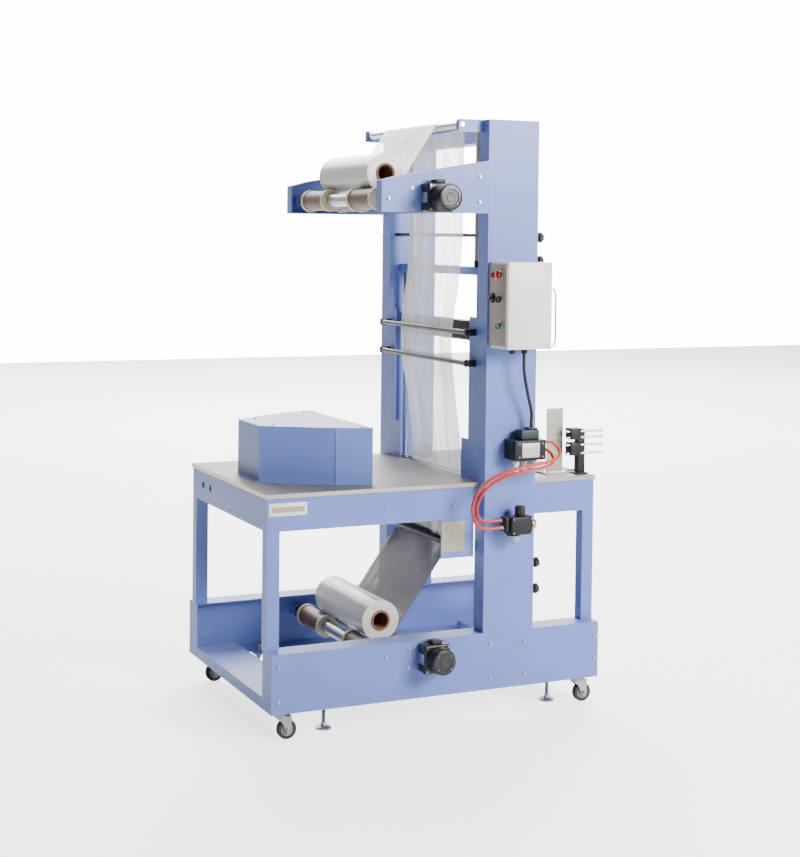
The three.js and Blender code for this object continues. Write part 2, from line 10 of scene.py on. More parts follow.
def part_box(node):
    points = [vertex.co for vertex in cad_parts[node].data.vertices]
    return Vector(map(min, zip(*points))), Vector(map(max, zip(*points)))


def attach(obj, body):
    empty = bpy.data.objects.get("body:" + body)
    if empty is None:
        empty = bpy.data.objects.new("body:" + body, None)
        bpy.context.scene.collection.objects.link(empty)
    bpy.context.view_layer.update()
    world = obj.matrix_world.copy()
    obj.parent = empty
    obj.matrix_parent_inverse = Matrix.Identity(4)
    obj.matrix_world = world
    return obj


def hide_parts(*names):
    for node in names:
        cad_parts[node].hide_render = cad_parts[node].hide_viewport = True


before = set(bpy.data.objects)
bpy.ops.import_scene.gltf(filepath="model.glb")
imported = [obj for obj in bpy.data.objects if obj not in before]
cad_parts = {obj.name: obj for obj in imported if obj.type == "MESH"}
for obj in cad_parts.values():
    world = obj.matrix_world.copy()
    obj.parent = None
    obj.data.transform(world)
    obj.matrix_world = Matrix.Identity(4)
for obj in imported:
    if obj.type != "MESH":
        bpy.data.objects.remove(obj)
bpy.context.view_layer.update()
MM = 0.001
ROOT = "frame"
DATUM = Vector(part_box("worktop_infeed")[0])
DEPTH = (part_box("worktop_infeed")[1][1] - DATUM.y) / MM
SIDES = ("front", "rear")
ENDS = ("infeed", "outfeed")
X, Y, Z = Vector((1, 0, 0)), Vector((0, 1, 0)), Vector((0, 0, 1))
LEVELS = ("upper", "lower")
INWARD = {"front": Y, "rear": -Y}
# Millimetres, as at() takes them: the control box's panel face, far end and underside, the guide shafts and
# piston rods, the face the air unit hangs on, the film's line round a roll and half the film's width.
PANEL_X, BOX_END_X, BOX_FLOOR = 735.7, 900, 1197
SHAFT_X, SHAFT_INSET, ROD_INSET = 783, 66, 118
AIR_PLATE_Y = -38.3
ROLL_RADIUS, FILM_HALF_WIDTH = 66, 200


def x_at(x):
    return DATUM.x + x * MM


def y_at(y):
    return DATUM.y + y * MM


def at(x, y, z):
    return Vector((x_at(x), y_at(y), z * MM))


def shift(point, x, y, z):
    """The point, moved by a number of millimetres each way."""
    return point + Vector((x, y, z)) * MM


def flip(side, y):
    """A distance from the front edge, on either side of the machine."""
    return y if side == "front" else DEPTH - y


def span(node):
    """The low and the high corner of a CAD node."""
    return [Vector(corner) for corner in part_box(node)]


def centre(node):
    low, high = span(node)
    return (low + high) / 2


def half_size(node):
    """Half the length, depth and height of a CAD node, in millimetres."""
    low, high = span(node)
    return (high - low) / 2 / MM


def underside(node):
    """The middle of a CAD node's lower face."""
    return Vector((*centre(node).xy, span(node)[0].z))


def at_depth(point, y):
    """The point, moved along the depth to a distance from the front edge."""
    return Vector((point.x, y_at(y), point.z))


def add_object(name, data):
    made = bpy.data.objects.new(name, data)
    bpy.context.collection.objects.link(made)
    return made


def set_inputs(node, **values):
    """Sets the inputs of a shader node; an underscore stands for a space."""
    for name, value in values.items():
        node.inputs[name.replace("_", " ")].default_value = value
    return node


def add_node(tree, kind, **values):
    return set_inputs(tree.nodes.new("ShaderNode" + kind), **values)


def join(source, output, target, name):
    source.id_data.links.new(source.outputs[output], target.inputs[name])


# ---- camera, light and floor

def add_camera():
    yaw, pitch, roll = (radians(a) for a in (24.370, -1.658, -0.622))
    forward = Vector((sin(yaw) * cos(pitch), cos(yaw) * cos(pitch), sin(pitch)))
    right = Vector((cos(yaw), -sin(yaw), 0))
    up = right.cross(forward)
    level = Matrix((right, up, -forward)).transposed()
    data = bpy.data.cameras.new("camera")
    data.lens = 66.7
    data.sensor_width = 36
    data.shift_x = 0.0359
    data.shift_y = -0.1716
    data.clip_end = 60
    camera = add_object("camera", data)
    turned = level @ Matrix.Rotation(-roll, 3, "Z")
    camera.matrix_world = Matrix.Translation(at(-1700.3, -4492.7, 1550.7)) @ turned.to_4x4()
    bpy.context.scene.camera = camera


def area_light(name, place, target, size, power, tint=(1, 1, 1)):
    data = bpy.data.lights.new(name, "AREA")
    data.shape = "RECTANGLE"
    data.size, data.size_y = size
    data.energy = power
    data.color = tint
    light = add_object(name, data)
    light.location = place
    light.rotation_euler = (Vector(target) - Vector(place)).to_track_quat("-Z", "Y").to_euler()


def light_room(tree):
    """A pale room whose far wall is the brightest and whose infeed side is dim."""
    toward = add_node(tree, "VectorMath")
    toward.operation = "DOT_PRODUCT"
    toward.inputs[1].default_value = (0.41, 0.91, 0)
    tree.links.new(add_node(tree, "TexCoord").outputs["Generated"], toward.inputs[0])
    glow = add_node(tree, "MapRange", From_Min=0.45, From_Max=0.92, To_Min=0.06, To_Max=2.2)
    glow.interpolation_type = "SMOOTHSTEP"
    join(toward, "Value", glow, "Value")
    level = add_node(tree, "Mix", B=16)
    join(add_node(tree, "LightPath"), "Is Camera Ray", level, "Factor")
    join(glow, "Result", level, "A")
    background = set_inputs(tree.nodes["Background"], Color=(0.96, 0.97, 1, 1))
    join(level, "Result", background, "Strength")


def add_studio():
    area_light("key", (2.3, -4.6, 2.9), (0, 0, 0.9), (2.2, 2.0), 520, (1, 0.98, 0.95))
    area_light("fill", (-3.6, -2.4, 2.2), (0, 0, 0.9), (2.4, 2.4), 4, (0.95, 0.97, 1))
    area_light("overhead", (0.6, -0.2, 4.2), (0.2, 0, 0.6), (3.2, 3.2), 90)
    area_light("far_floor", (3.4, 7.5, 5.0), (3.4, 7.4, 0), (11, 9), 2600)
    area_light("back", (1.4, 3.8, 2.6), (0, 0, 1.0), (2.6, 2.0), 60)
    world = bpy.data.worlds.new("studio")
    world.use_nodes = True
    light_room(world.node_tree)
    bpy.context.scene.world = world
    mesh = bpy.data.meshes.new("floor")
    reach = 14
    corners = [(-reach, -reach, 0), (reach, -reach, 0), (reach, reach, 0), (-reach, reach, 0)]
    mesh.from_pydata(corners, [], [(0, 1, 2, 3)])
    floor = add_object("floor", mesh)
    pale = surface("floor_pale", None, (0.95, 0.95, 0.95), 0.7, mottle=(0.02, 2))
    tree = pale.node_tree
    shader = set_inputs(tree.nodes["Principled BSDF"], Emission_Color=(2.2, 2.2, 2.2, 1))
    join(add_node(tree, "LightPath"), "Is Camera Ray", shader, "Emission Strength")
    mesh.materials.append(pale)


# ---- materials

SLOTS = {}


def linear(rgb):
    return tuple(c / 12.92 if c <= 0.04045 else ((c + 0.055) / 1.055) ** 2.4 for c in rgb)


def object_space(tree, stretch):
    mapping = add_node(tree, "Mapping", Scale=stretch)
    join(add_node(tree, "TexCoord"), "Object", mapping, "Vector")
    return mapping


def noise(tree, mapping, **values):
    made = add_node(tree, "TexNoise", **values)
    join(mapping, "Vector", made, "Vector")
    return made


def surface(name, slot, rgb, rough, metal=0.0, mottle=(0.06, 9), grain=(0, 900), stretch=(1, 1, 1), coat=0.0,
            top_light=0.0, alpha=None):
    """A paint, metal or plastic: uneven colour, uneven gloss and a fine bump, all from object space.

    mottle and grain are each a strength and a scale; the slot is its pieces' own, unless they say another.
    """
    uneven, patches = mottle
    bumpy, fineness = grain
    material = bpy.data.materials.new(name)
    SLOTS[material.name] = slot
    material.use_nodes = True
    tree = material.node_tree
    shader = set_inputs(tree.nodes["Principled BSDF"], Metallic=metal, Coat_Weight=coat, Coat_Roughness=0.15)
    mapping = object_space(tree, stretch)
    clouds = noise(tree, mapping, Scale=patches, Detail=5, Roughness=0.6)
    ramp = add_node(tree, "ValToRGB")
    base = linear(rgb)
    dark = tuple(max(c * (1 - 2 * uneven), 0) for c in base)
    light = tuple(min(c * (1 + uneven), 1) for c in base)
    for stop, position, tone in zip(ramp.color_ramp.elements, (0.25, 0.75), (dark, light)):
        stop.position = position
        stop.color = (*tone, 1)
    join(clouds, "Fac", ramp, "Fac")
    colour = ramp.outputs["Color"]
    # Upward faces can be made paler and greyer: painted light on the tops.
    if top_light:
        colour = paint_top_light(tree, colour, top_light)
    tree.links.new(colour, shader.inputs["Base Color"])
    gloss = add_node(tree, "MapRange", To_Min=max(rough - 0.07, 0.03), To_Max=min(rough + 0.1, 1))
    join(clouds, "Fac", gloss, "Value")
    join(gloss, "Result", shader, "Roughness")
    if bumpy:
        bump = add_node(tree, "Bump", Strength=bumpy, Distance=0.0004)
        join(noise(tree, mapping, Scale=fineness, Detail=2), "Fac", bump, "Height")
        join(bump, "Normal", shader, "Normal")
    if alpha is not None:
        set_inputs(shader, Alpha=alpha)
    return material


def paint_top_light(tree, colour, amount):
    """Faces that look up are made a little paler and greyer: painted light on the tops, where light from
    above falls.
    """
    split = add_node(tree, "SeparateXYZ")
    join(add_node(tree, "NewGeometry"), "Normal", split, "Vector")
    share = add_node(tree, "MapRange", From_Min=0.4, To_Max=amount)
    join(split, "Z", share, "Value")
    mix = add_node(tree, "MixRGB", Color2=(0.62, 0.63, 0.66, 1))
    join(share, "Result", mix, "Fac")
    tree.links.new(colour, mix.inputs["Color1"])
    return mix.outputs["Color"]


def film_surface(name, rgb, clear_share, glow=0.0):
    """Thin polyethylene: milky, glossy, with long streaks and cloudy patches along the web; glow is a white
    emission, painted light standing in for light shining through the film from behind.
    """
    material = surface(name, "film", rgb, 0.22, mottle=(0.05, 5), grain=(0.35, 60), stretch=(1, 4, 0.6),
                       coat=0.4)
    tree = material.node_tree
    # The film emits white light by the glow amount: painted light for light passing through it from behind.
    shader = set_inputs(tree.nodes["Principled BSDF"], Emission_Color=(1, 1, 1, 1), Emission_Strength=glow)
    streaks = noise(tree, object_space(tree, (3, 26, 1.4)), Scale=1, Detail=4)
    amount = add_node(tree, "MapRange", From_Min=0.3, From_Max=0.7, To_Min=1 - clear_share - 0.12,
                      To_Max=1 - clear_share + 0.15)
    join(streaks, "Fac", amount, "Value")
    join(amount, "Result", shader, "Alpha")
    return material


# The upward faces of the blue paint are made paler and greyer: painted light on the tops.
BLUE = surface("blue_powder_coat", "blue_paint", (0.415, 0.50, 0.79), 0.42, mottle=(0.035, 4),
               grain=(0.10, 1400), coat=0.12, top_light=0.10)
BLUE_DARK = surface("blue_guard", "blue_paint", (0.44, 0.51, 0.70), 0.45, mottle=(0.04, 5), grain=(0.1, 900),
                    coat=0.1)
STEEL = surface("stainless_brushed", "stainless", (0.76, 0.745, 0.71), 0.32, 0.85, mottle=(0.06, 7),
                grain=(0.3, 500), stretch=(0.05, 1, 1))
ZINC = surface("zinc_plate", "zinc", (0.70, 0.70, 0.70), 0.34, 0.9, mottle=(0.10, 60), grain=(0.15, 900))
CHROME = surface("hard_chrome", "chromed", (0.80, 0.81, 0.83), 0.14, 1.0, mottle=(0.03, 20),
                 grain=(0.04, 700), stretch=(1, 0.1, 1))
MOTOR_CAP = surface("motor_end_bell", "stainless", (0.27, 0.27, 0.28), 0.36, 0.8, mottle=(0.10, 60),
                    grain=(0.15, 900))
# A dark copy of the chrome for the film guide bars: painted shade, for the silver bars are seen on their
# shaded side.
BAR = surface("steel_bar_shaded", "chromed", (0.30, 0.275, 0.285), 0.36, 0.8, mottle=(0.10, 30),
              grain=(0.1, 900))
WORKTOP = surface("worktop_worn", "stainless", (0.50, 0.485, 0.47), 0.48, 0.35, mottle=(0.09, 6),
                  grain=(0.3, 900))
ALUMINIUM = surface("cast_aluminium", "stainless", (0.78, 0.78, 0.77), 0.38, 0.9, mottle=(0.08, 80),
                    grain=(0.25, 900))
BLACK = surface("black_anodised", "black_alloy", (0.115, 0.115, 0.125), 0.42, 0.3, mottle=(0.12, 30),
                grain=(0.12, 900))
MOTOR = surface("motor_enamel", "motor_black", (0.10, 0.105, 0.12), 0.38, 0.1, mottle=(0.12, 25),
                grain=(0.3, 800), coat=0.2)
PLASTIC = surface("black_moulded", "black_plastic", (0.10, 0.10, 0.105), 0.5, mottle=(0.08, 50),
                  grain=(0.35, 900))
RUBBER = surface("grey_rubber", "wheel_grey", (0.22, 0.22, 0.23), 0.8, mottle=(0.12, 70), grain=(0.4, 500))
NYLON = surface("hub_nylon", "wheel_grey", (0.55, 0.55, 0.54), 0.5, mottle=(0.07, 60), grain=(0.2, 900))
DRUM = surface("drum_brown", "roller_drum", (0.44, 0.335, 0.25), 0.48, mottle=(0.16, 26), grain=(0.4, 260),
               stretch=(1, 0.12, 1))
CREAM = surface("rim_cream", "stainless", (0.86, 0.82, 0.72), 0.45, mottle=(0.07, 40), grain=(0.2, 900))
CARD = surface("core_card", "film", (0.52, 0.38, 0.26), 0.85, mottle=(0.14, 60), grain=(0.6, 400))
WHITE = surface("white_enamel", "box_white", (0.93, 0.925, 0.91), 0.38, mottle=(0.015, 6), grain=(0.10, 1400),
                coat=0.15)
PANEL = surface("panel_grey", "box_white", (0.66, 0.62, 0.575), 0.45, mottle=(0.04, 12), grain=(0.12, 900))
RED = surface("red_plastic", "button_red", (0.70, 0.10, 0.08), 0.3, mottle=(0.06, 50), coat=0.4,
              grain=(0.05, 900))
GREEN = surface("green_plastic", "button_green", (0.10, 0.45, 0.22), 0.3, mottle=(0.06, 50), coat=0.4,
                grain=(0.05, 900))
HOSE = surface("hose_polyurethane", "hose_orange", (0.79, 0.20, 0.11), 0.4, mottle=(0.06, 40), coat=0.1,
               grain=(0.08, 900))
CABLE = surface("cable_black", "cable_black", (0.09, 0.09, 0.095), 0.55, mottle=(0.10, 60), grain=(0.3, 900))
TEAL = surface("coil_teal", "black_alloy", (0.12, 0.20, 0.235), 0.45, mottle=(0.08, 50), grain=(0.3, 900))
BRASS = surface("brass_fitting", "stainless", (0.73, 0.66, 0.48), 0.28, 0.95, mottle=(0.08, 70),
                grain=(0.1, 900))
TAPE = surface("ptfe_tape", "roller_drum", (0.56, 0.44, 0.31), 0.55, mottle=(0.08, 60), grain=(0.5, 1600))
DIAL = surface("dial_white", "box_white", (0.93, 0.93, 0.91), 0.35, mottle=(0.02, 50), coat=0.6)
# The upper curtain glows a little: painted light shining through it.
FILM = film_surface("film_web", (0.95, 0.95, 0.945), 0.52, 0.22)
# A darker, greyer copy of the film for the lower web: painted shade, for this web runs in the shadow under
# the table.
SHADED_FILM = film_surface("film_web_shaded", (0.62, 0.60, 0.59), 0.2)
WOUND = surface("film_wound", "film", (0.86, 0.855, 0.83), 0.3, mottle=(0.04, 14), grain=(0.2, 420),
                stretch=(1, 0.05, 1), coat=0.3)
BOWL = surface("bowl_clear", "film", (0.70, 0.74, 0.75), 0.08, mottle=(0.03, 30), coat=0.5, alpha=0.45)


# ---- mesh helpers

def finish_mesh(name, build, material, body=ROOT, smooth=35, slot=None):
    """Turns a bmesh into a piece of one or several materials, smooth except at real edges."""
    materials = material if isinstance(material, list) else [material]
    slot = slot or SLOTS[materials[0].name]
    mesh = bpy.data.meshes.new(name)
    bmesh.ops.recalc_face_normals(build, faces=build.faces)
    build.to_mesh(mesh)
    build.free()
    for each in materials:
        mesh.materials.append(each)
    for polygon in mesh.polygons:
        polygon.use_smooth = True
    mesh.set_sharp_from_angle(angle=radians(smooth))
    piece = add_object(name, mesh)
    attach(piece, body)
    return piece


def add_lathe(build, profile, place, axis, segments=48, bands=None):
    """Turns [radius, height] pairs in millimetres round the axis through a place; closed at its ends."""
    seat = Matrix.Translation(place) @ Z.rotation_difference(axis).to_matrix().to_4x4()
    full_turn = [2 * pi * i / segments for i in range(segments)]
    rings = []
    for radius, height in profile:
        turn = full_turn if radius > 0 else [0]
        rings.append([build.verts.new(seat @ Vector((
            radius * MM * cos(a), radius * MM * sin(a), height * MM))) for a in turn])
    for k in range(len(rings) - 1):
        low, high = rings[k], rings[k + 1]
        for i in range(segments):
            j = (i + 1) % segments
            corners = [low[i % len(low)], low[j % len(low)], high[j % len(high)], high[i % len(high)]]
            unique = list(dict.fromkeys(corners))
            if len(unique) > 2:
                face = build.faces.new(unique)
                face.material_index = bands[k] if bands else 0


def add_block(build, low, high, radius=1.5, segments=3):
    """A box between two corners, with rounded edges."""
    low, high = Vector(low), Vector(high)
    sized = Matrix.Translation((low + high) / 2) @ Matrix.Diagonal((*(high - low), 1))
    made = bmesh.ops.create_cube(build, size=1, matrix=sized)
    edges = {edge for vert in made["verts"] for edge in vert.link_edges}
    limit = 0.45 * min(high - low)
    if radius > 0:
        bmesh.ops.bevel(build, geom=list(edges), offset=min(radius * MM, limit), segments=segments,
                        profile=0.5, affect="EDGES", clamp_overlap=True, material=-1)


def block(name, low, high, material, radius=1.5, body=ROOT, segments=3, slot=None):
    build = bmesh.new()
    add_block(build, low, high, radius, segments)
    return finish_mesh(name, build, material, body, slot=slot)


def lathe(name, profile, place, axis, material, segments=48, body=ROOT, bands=None, slot=None):
    build = bmesh.new()
    add_lathe(build, profile, place, axis, segments, bands)
    return finish_mesh(name, build, material, body, slot=slot)


def ring(name, profile, place, axis, material, segments=48, body=ROOT, bands=None, slot=None):
    """A turned ring whose profile closes on itself."""
    build = bmesh.new()
    add_lathe(build, [*profile, profile[0]], place, axis, segments, bands)
    bmesh.ops.remove_doubles(build, verts=build.verts, dist=1e-6)
    return finish_mesh(name, build, material, body, slot=slot)


def add_bolt(build, place, axis, size=5):
    """A washer and a hexagon head, seated at a place on a face that looks along the axis."""
    add_lathe(build, [(0, 0), (size * 1.15, 0), (size * 1.15, 0.9), (size * 1.05, 1.1), (0, 1.1)], place,
              axis, 28)
    head = size * 0.92
    add_lathe(build, [(0, 1.1), (head, 1.1), (head, 4.2), (head * 0.86, 4.9), (0, 4.9)], place, axis, 6)


def add_socket_screw(build, place, axis, size=4):
    """A cap screw with a hollow hexagon."""
    profile = [(0, 1.2), (size * 0.42, 1.2), (size * 0.42, 3.6), (size * 0.82, 3.6), (size * 0.95, 3.0),
               (size * 0.95, 0), (0, 0)]
    add_lathe(build, profile, place, axis, 24)


def screws(name, places, axis, size=4, body=ROOT, head=add_socket_screw):
    """The same head at every place, as one piece."""
    build = bmesh.new()
    for place in places:
        head(build, place, axis, size)
    finish_mesh(name, build, ZINC, body, smooth=30)


def bolts(name, places, axis, size):
    screws(name, places, axis, size, head=add_bolt)


def rivets(name, profile, places, axis, segments, material=ZINC):
    """The same small turned head at every place, as one piece."""
    build = bmesh.new()
    for place in places:
        add_lathe(build, profile, place, axis, segments)
    finish_mesh(name, build, material)


def add_prism(build, *outlines):
    """A closed solid between two outlines of the same length."""
    near, far = ([build.verts.new(point) for point in outline] for outline in outlines)
    build.faces.new(near)
    build.faces.new(far)
    for k in range(len(near)):
        j = (k + 1) % len(near)
        build.faces.new((near[k], near[j], far[j], far[k]))


def tube(name, points, radius, material, body=ROOT):
    """A round tube along one smooth line through the points."""
    data = bpy.data.curves.new(name, "CURVE")
    data.dimensions = "3D"
    data.bevel_depth = radius * MM
    data.bevel_resolution = 5
    data.resolution_u = 10
    data.use_fill_caps = True
    spline = data.splines.new("BEZIER")
    spline.bezier_points.add(len(points) - 1)
    for knot, point in zip(spline.bezier_points, points):
        knot.co = point
        knot.handle_left_type = knot.handle_right_type = "AUTO"
    data.materials.append(material)
    piece = add_object(name, data)
    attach(piece, body)
    return piece


def dress(node, material, bevel=1.2):
    """A CAD node that keeps its shape: its own material, and softly broken edges."""
    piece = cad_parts[node]
    piece.data.materials.clear()
    piece.data.materials.append(material)
    edge = piece.modifiers.new("edges", "BEVEL")
    edge.width = bevel * MM
    edge.segments = 2
    edge.limit_method = "ANGLE"
    edge.angle_limit = radians(40)


# ---- air tubes and cable

OUTER_TUBE = [(922.5, -88, 893), (936, -88, 893), (952, -92, 888), (968, -102, 866), (950, -116, 843),
              (905, -122, 832), (820, -124, 820), (748, -112, 800), (700, -96, 768), (668, -88, 720),
              (664, -86, 672), (684, -85, 636), (717, -84, 625), (767.5, -84, 625)]
INNER_TUBE = [(922.5, -66, 866), (932, -66, 866), (943, -72, 862), (950, -90, 846), (938, -112, 828),
              (905, -120, 817), (820, -120, 804), (752, -106, 784), (712, -90, 754), (686, -82, 712),
              (683, -80, 676), (696, -78, 654), (722, -76, 646), (767.5, -76, 646)]
CABLE_LINE = [(835, -98, 1179.5), (836, -98, 1125), (856, -88, 1050), (878, -76, 985), (880, -72, 960),
              (880, -72, 940.6)]


def add_cords():
    radius = 5
    for name, line, material in (
            ("air_tube_outer", OUTER_TUBE, HOSE),
            ("air_tube_inner", INNER_TUBE, HOSE),
            ("control_cable", CABLE_LINE, CABLE)):
        piece = tube(name + "_fine", [at(*p) for p in line], radius, material)
        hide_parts(name)


# ---- film

def add_roll(level):
    node = f"{level}_film_roll"
    middle = centre(node)
    half, radius = half_size(node).yz
    layers = [(radius - 0.25 * (k % 2) - 0.2 * sin(k), -half + 0.8 + k * (2 * half - 1.6) / 28)
              for k in range(29)]
    steps = [34, 40, 46, 52, 58, radius - 2.5]
    face = [(r, -half + 0.5 * (i % 2)) for i, r in enumerate(steps)]
    back = [(r, half - 0.5 * (i % 2)) for i, r in enumerate(reversed(steps))]
    wound = ring(node + "_wound", [*face, *layers, *back], middle, Y, WOUND, 96, node)
    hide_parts(node)
    core = [(26, -half - 2), (33.6, -half - 2), (33.6, half + 2), (26, half + 2)]
    ring(node + "_core", core, middle, Y, CARD, 64, node)


def catmull(points, steps):
    """A smooth line through points, evenly sampled between each pair."""
    line = []
    for i in range(len(points) - 1):
        p0, p1 = points[max(i - 1, 0)], points[i]
        p2, p3 = points[i + 1], points[min(i + 2, len(points) - 1)]
        for k in range(steps):
            t = k / steps
            line.append(0.5 * ((2 * p1) + (p2 - p0) * t + (2 * p0 - 5 * p1 + 4 * p2 - p3) * t ** 2
                               + (3 * p1 - p0 - 3 * p2 + p3) * t ** 3))
    line.append(points[-1])
    return line


def lead_off(roll, guide, guide_radius, last_angle):
    """The film's line from a roll, tangent to it, and round a guide roller to where it runs free.

    A negative guide radius means the film crosses over to the guide's other side.
    """
    line = guide - roll
    lean = (ROLL_RADIUS - guide_radius) / line.length
    line.normalize()
    normal = line * lean + Vector((line.y, -line.x)) * sqrt(1 - lean * lean)
    facing = normal if guide_radius > 0 else -normal
    first = atan2(facing.y, facing.x)
    start = roll + normal * ROLL_RADIUS
    turns = [first + k / 10 * (last_angle - first) for k in range(11)]
    wrap = [guide + abs(guide_radius) * Vector((cos(a), sin(a))) for a in turns]
    return [start.lerp(wrap[0], k / 14) for k in range(14)] + wrap


def web_line(level):
    roll = centre(f"{level}_film_roll") - at(0, 0, 0)
    guide_node = "top_roller" if level == "upper" else "lower_guide_roller"
    guide = centre(guide_node) - at(0, 0, 0)
    radius = half_size(guide_node).z + 1
    roll_point, guide_point = Vector((roll.x, roll.z)) / MM, Vector((guide.x, guide.z)) / MM
    if level == "lower":
        return lead_off(roll_point, guide_point, radius, radians(-13))
    inner = (centre("inner_top_roller") - at(0, 0, 0)) / MM
    turns = [radians(90 - 9 * k) for k in range(11)]
    wrap = [Vector((inner.x + radius * cos(a), inner.z + radius * sin(a))) for a in turns]
    rising = lead_off(roll_point, guide_point, -radius, radians(90))
    level_run = [rising[-1].lerp(wrap[0], k / 6) for k in range(1, 6)]
    return rising + level_run + wrap


def add_web(name, line, material, calm, ripple, far_neck=0):
    """A film along an XZ line: long soft ripples that die out where it is held, and a trembling edge."""
    columns = 48
    neck_from, neck_run = 1350, 450
    build = bmesh.new()
    grid = []
    total = len(line) - 1
    for i, point in enumerate(line):
        ahead = line[min(i + 1, total)] - line[max(i - 1, 0)]
        normal = Vector((-ahead.y, ahead.x)).normalized()
        free = calm(point)
        row = []
        for j in range(columns + 1):
            v = j / columns * 2 - 1
            low_down = min(max((neck_from - point.y) / neck_run, 0), 1)
            neck = far_neck * low_down if v > 0 else 0
            width = FILM_HALF_WIDTH - neck - free * 3 * (1 + sin(i * 0.31 + (v > 0) * 2))
            wave = sin(v * 7 + i * 0.05) + 0.6 * sin(v * 13 + 1.3 + i * 0.02)
            lift = free * ripple * (wave + 1.6 * v * v)
            place = point + normal * lift
            row.append(build.verts.new(at(place.x, DEPTH / 2 + v * width, place.y)))
        grid.append(row)
    for i in range(total):
        for j in range(columns):
            build.faces.new((grid[i][j], grid[i][j + 1], grid[i + 1][j + 1], grid[i + 1][j]))
    piece = finish_mesh(name, build, material, smooth=60)
    thick = piece.modifiers.new("gauge", "SOLIDIFY")
    thick.thickness = 0.3 * MM
    thick.offset = 0
    length = sum((b - a).length for a, b in zip(line, line[1:]))
    return piece, length


def add_film():
    slot_x, meet_z = 755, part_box("upper_web")[0][2] / MM
    over = web_line("upper")
    bar_x, upper_bar, lower_bar = 712.5, 1245, 1137
    top_run, top_line = 1880, 1908
    hanging = [(746, 1700), (738, 1440), (bar_x, upper_bar), (bar_x, lower_bar), (738, 930), (slot_x, meet_z)]
    fall = catmull([over[-1], *(Vector(p) for p in hanging)], 22)

    def calm_upper(point):
        held = min(abs(point.y - z) for z in (meet_z, lower_bar, upper_bar, top_line))
        return 0 if point.y > top_run else min(held / 260, 1)

    piece, length = add_web("film_curtain", over + fall[1:], FILM, calm_upper, 1.6, 30)
    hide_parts("upper_web")
    under = web_line("lower")
    rise = catmull([under[-1], Vector((slot_x - 28, 650)), Vector((slot_x, meet_z - 0.3))], 10)
    low_piece, low_length = add_web("film_feed_low", under + rise[1:], SHADED_FILM, lambda p: 0.0, 0)
    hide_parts("lower_web")


# ---- rollers and rods

def cradle_profile(far_end):
    """Half of a cradle roller from its middle out: tube, rims and drum, with broken corners."""
    return [(22, 101), (36.5, 101), (38, 102.5), (38, 114.5), (36.8, 116), (34, 116), (34, 276), (36.8, 276),
            (38, 277.5), (38, 289.5), (36.5, 291), (14, 291), (14, 296), (10, 296), (10, far_end - 1),
            (9, far_end), (0, far_end)]


def add_cradle_roller(node):
    low, high = span(node)
    middle = at_depth(centre(node), DEPTH / 2)
    near = (middle.y - low.y) / MM
    far = (high.y - middle.y) / MM
    half_bands = [1] * 5 + [0] + [1] * 5 + [2] * 5
    back = [(r, -h) for r, h in reversed(cradle_profile(near))]
    profile = back + cradle_profile(far)
    bands = half_bands[::-1] + [2] + half_bands
    piece = lathe(node + "_fine", profile, middle, Y, [DRUM, CREAM, ZINC], 64, node, bands)
    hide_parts(node)
    build = bmesh.new()
    for h in (-294, 294):
        add_socket_screw(build, shift(middle, 0, h, 14), Z, 3)
    finish_mesh(node + "_grub_screws", build, ZINC, node)


def add_plain_roller(node, radius, shaft, body_half, material):
    middle = centre(node)
    end = half_size(node).y
    half = [(0, end), (shaft - 0.8, end), (shaft, end - 0.8)]
    if body_half < end - 2:
        half += [(shaft, body_half), (radius - 1, body_half), (radius, body_half - 1)]
    full = half + [(r, -h) for r, h in reversed(half)]
    piece = lathe(node + "_fine", full, middle, Y, material, 40, node, slot="chromed")
    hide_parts(node)


def add_guide_bar(place):
    node = f"film_guide_bar_{place}"
    low, high = span(node)
    middle = Vector((low.x + 8 * MM, *centre(node).yz))
    end = half_size(node).y
    profile = [(0, end - 2), (7.2, end - 2), (8, end - 3), (8, 3 - end), (7.2, 2 - end), (0, 2 - end)]
    piece = lathe(node + "_rod", profile, middle, Y, BAR, 40)
    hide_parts(node)
    under, over = middle.z - 11 * MM, middle.z + 11 * MM
    for side, y0, y1 in (("near", low.y, low.y + 14 * MM), ("far", high.y - 14 * MM, high.y)):
        build = bmesh.new()
        add_block(build, (low.x, y0, under), (high.x, y1, over), 3)
        add_socket_screw(build, Vector((middle.x, (y0 + y1) / 2, over)), Z, 3)
        finish_mesh(f"{node}_clamp_{side}", build, BLACK)


def bearing_ring(name, place, axis, inner, outer, deep):
    profile = [(inner, 0), (outer - 1, 0), (outer, 1), (outer, deep - 2), (outer - 3, deep),
               (inner + 3, deep), (inner + 2, deep - 1.5), (inner, deep - 1.5)]
    ring(name, profile, place, axis, BLACK)


def add_rollers():
    for level in LEVELS:
        for kind in ("idler", "drive"):
            node = f"{level}_{kind}_roller"
            add_cradle_roller(node)
            for side, direction in INWARD.items():
                face = at_depth(centre(node), flip(side, 22))
                bearing_ring(f"{node}_bearing_{side}", face + direction * 0.1 * MM, direction, 10.8, 24, 12)
                ears = [shift(face, dx, 0, dz) for dx in (-15, 15) for dz in (-13, 13)]
                screws(f"{node}_bearing_screws_{side}", ears, direction, 2.6)
    add_plain_roller("top_roller", 12, 8, 341, CHROME)
    add_plain_roller("lower_guide_roller", 12, 6, 303, BLACK)
    add_plain_roller("mid_roller", 6, 6, 400, BLACK)
    add_plain_roller("inner_top_roller", 12, 6, 315, CHROME)
    for place in LEVELS:
        add_guide_bar(place)
    for side, direction in INWARD.items():
        top = at_depth(centre("top_roller"), flip(side, 20.2))
        bearing_ring(f"top_roller_bearing_{side}", top, direction, 8.6, 13, 1.5)
        low = at_depth(centre("lower_guide_roller"), flip(side, 40.2))
        bearing_ring(f"low_roller_bearing_{side}", low, direction, 6.6, 15, 6)


# ---- gear motors

